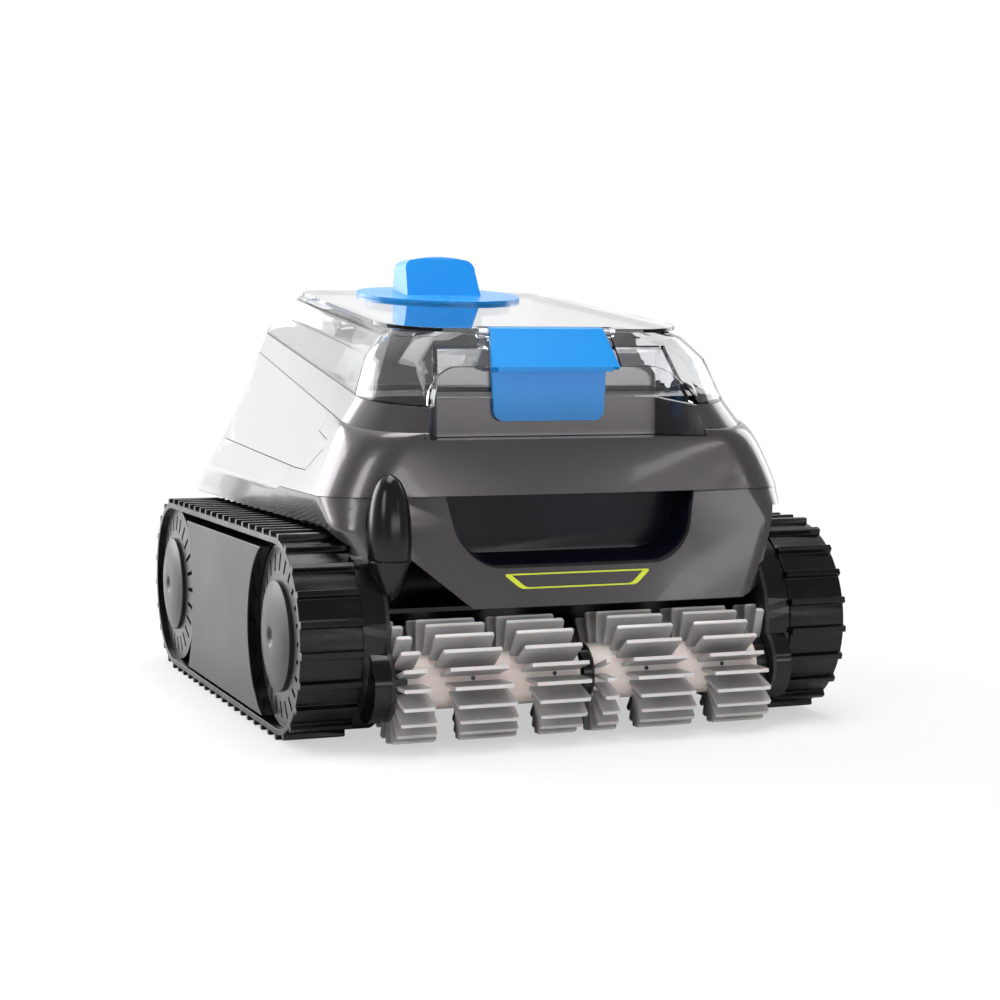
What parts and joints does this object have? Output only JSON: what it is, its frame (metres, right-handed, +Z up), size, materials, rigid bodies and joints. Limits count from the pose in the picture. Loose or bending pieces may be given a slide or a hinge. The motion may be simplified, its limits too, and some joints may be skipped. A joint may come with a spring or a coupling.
{
  "type": "pool cleaner",
  "caption": "Cordless robotic pool cleaner on rubber tracks, with paddle brush rollers in front, a clear hinged lid with latch, a lift-out filter and a top water outlet.",
  "frame": {"origin": "on the floor under the middle of the machine's bounding box", "axes": "+Z up, +X to the right when the brushes are looked at, +Y towards the rear, with the brush rollers at -Y"},
  "size_m": [0.376, 0.466, 0.3143],
  "materials": {
    "shell_grey": "satin metallic grey",
    "cover_grey": "satin",
    "black_plastic": "gloss",
    "dark_plastic": "satin",
    "blue_plastic": "gloss, slightly translucent",
    "clear_plastic": "clear",
    "track_rubber": "semi gloss",
    "blade_rubber": "translucent grey",
    "gear_plastic": "satin",
    "steel": "brushed",
    "filter_mesh": "fine woven mesh",
    "battery_wrap": "satin",
    "board_green": "satin"
  },
  "bodies": {
    "chassis": {"track_belt_left": "track_rubber", "track_frame_left": "black_plastic", "gear_cover_left": "dark_plastic", "side_cover_left": "cover_grey", "drive_motor_left": "steel", "track_belt_right": "track_rubber", "track_frame_right": "black_plastic", "gear_cover_right": "dark_plastic", "side_cover_right": "cover_grey", "drive_motor_right": "steel", "wheel_axles": "steel", "brush_middle_disc": "black_plastic", "brush_axle": "steel", "lower_hull": "black_plastic", "intake_duct": "dark_plastic", "motor_block": "dark_plastic", "motor_block_cover": "dark_plastic", "motor_cradle": "dark_plastic", "pump_motor": "steel", "battery_pack": "battery_wrap", "control_board": "board_green", "pump_column": "dark_plastic", "lower_shell": "shell_grey", "grip_liner": "black_plastic", "front_shell": "shell_grey", "rear_shell": "shell_grey", "rim_frame": "shell_grey", "hinge_pin": "steel", "pod_front": "black_plastic", "pod_rear": "black_plastic"},
    "front_wheel_left": {"wheel_front_left": "black_plastic", "hub_cap_front_left": "cover_grey", "wheel_gear_front_left": "gear_plastic"},
    "rear_wheel_left": {"wheel_rear_left": "black_plastic", "hub_cap_rear_left": "cover_grey", "wheel_gear_rear_left": "gear_plastic"},
    "brush_left": {"brush_roller_left": "blade_rubber", "brush_gear_left": "gear_plastic"},
    "pinion_left": {"drive_pinion_left": "steel"},
    "front_wheel_right": {"wheel_front_right": "black_plastic", "hub_cap_front_right": "cover_grey", "wheel_gear_front_right": "gear_plastic"},
    "rear_wheel_right": {"wheel_rear_right": "black_plastic", "hub_cap_rear_right": "cover_grey", "wheel_gear_rear_right": "gear_plastic"},
    "brush_right": {"brush_roller_right": "blade_rubber", "brush_gear_right": "gear_plastic"},
    "pinion_right": {"drive_pinion_right": "steel"},
    "lid_body": {"lid": "clear_plastic", "lid_top_panel": "clear_plastic", "outlet": "blue_plastic", "latch_pin": "steel"},
    "latch": {"latch_plate": "blue_plastic", "latch_flap": "blue_plastic"},
    "filter": {"filter_canister": "black_plastic", "filter_mesh": "filter_mesh"},
    "inlet_door": {"inlet_flap": "dark_plastic"},
    "pump_rotor": {"propeller": "dark_plastic"},
    "button": {"power_button": "blue_plastic"}
  },
  "joints": [
    {"name": "lid_hinge", "type": "hinge", "parent": "chassis", "child": "lid_body", "pos_m": [0, 0.183, 0.264], "axis": [-1, 0, 0], "range_deg": [0, 80]},
    {"name": "latch_pivot", "type": "hinge", "parent": "lid_body", "child": "latch", "pos_m": [0, -0.14, 0.255], "axis": [-1, 0, 0], "range_deg": [0, 40]},
    {"name": "filter_lift", "type": "slide", "parent": "chassis", "child": "filter", "axis": [0, 0, 1], "range_m": [0, 0.14]},
    {"name": "inlet_flap_swing", "type": "hinge", "parent": "filter", "child": "inlet_door", "pos_m": [0, -0.0915, 0.1148], "axis": [1, 0, 0], "range_deg": [0, 70]},
    {"name": "propeller_spin", "type": "hinge", "parent": "chassis", "child": "pump_rotor", "pos_m": [0, 0.076, 0.2], "axis": [0, 0, 1], "continuous": true},
    {"name": "power_button_press", "type": "slide", "parent": "chassis", "child": "button", "axis": [0, -1, 0], "range_m": [0, 0.002], "stiffness_N_per_m": 600},
    {"name": "front_wheel_left_spin", "type": "hinge", "parent": "chassis", "child": "front_wheel_left", "pos_m": [0, -0.1475, 0.0655], "axis": [1, 0, 0], "continuous": true},
    {"name": "rear_wheel_left_spin", "type": "hinge", "parent": "chassis", "child": "rear_wheel_left", "pos_m": [0, 0.1675, 0.0655], "axis": [1, 0, 0], "continuous": true},
    {"name": "pinion_left_spin", "type": "hinge", "parent": "chassis", "child": "pinion_left", "pos_m": [0, 0.1195, 0.0655], "axis": [1, 0, 0], "continuous": true},
    {"name": "brush_left_spin", "type": "hinge", "parent": "chassis", "child": "brush_left", "pos_m": [0, -0.195, 0.03981], "axis": [1, 0, 0], "continuous": true},
    {"name": "front_wheel_right_spin", "type": "hinge", "parent": "chassis", "child": "front_wheel_right", "pos_m": [0, -0.1475, 0.0655], "axis": [1, 0, 0], "continuous": true},
    {"name": "rear_wheel_right_spin", "type": "hinge", "parent": "chassis", "child": "rear_wheel_right", "pos_m": [0, 0.1675, 0.0655], "axis": [1, 0, 0], "continuous": true},
    {"name": "pinion_right_spin", "type": "hinge", "parent": "chassis", "child": "pinion_right", "pos_m": [0, 0.1195, 0.0655], "axis": [1, 0, 0], "continuous": true},
    {"name": "brush_right_spin", "type": "hinge", "parent": "chassis", "child": "brush_right", "pos_m": [0, -0.195, 0.03981], "axis": [1, 0, 0], "continuous": true}
  ],
  "couplings": [
    {"joint": "filter_lift", "follows": "lid_hinge", "m_per_rad": 0.1},
    {"joint": "rear_wheel_left_spin", "follows": "front_wheel_left_spin", "ratio": 1},
    {"joint": "pinion_left_spin", "follows": "front_wheel_left_spin", "ratio": -3},
    {"joint": "brush_left_spin", "follows": "front_wheel_left_spin", "ratio": -2},
    {"joint": "rear_wheel_right_spin", "follows": "front_wheel_right_spin", "ratio": 1},
    {"joint": "pinion_right_spin", "follows": "front_wheel_right_spin", "ratio": -3},
    {"joint": "brush_right_spin", "follows": "front_wheel_right_spin", "ratio": -2}
  ]
}
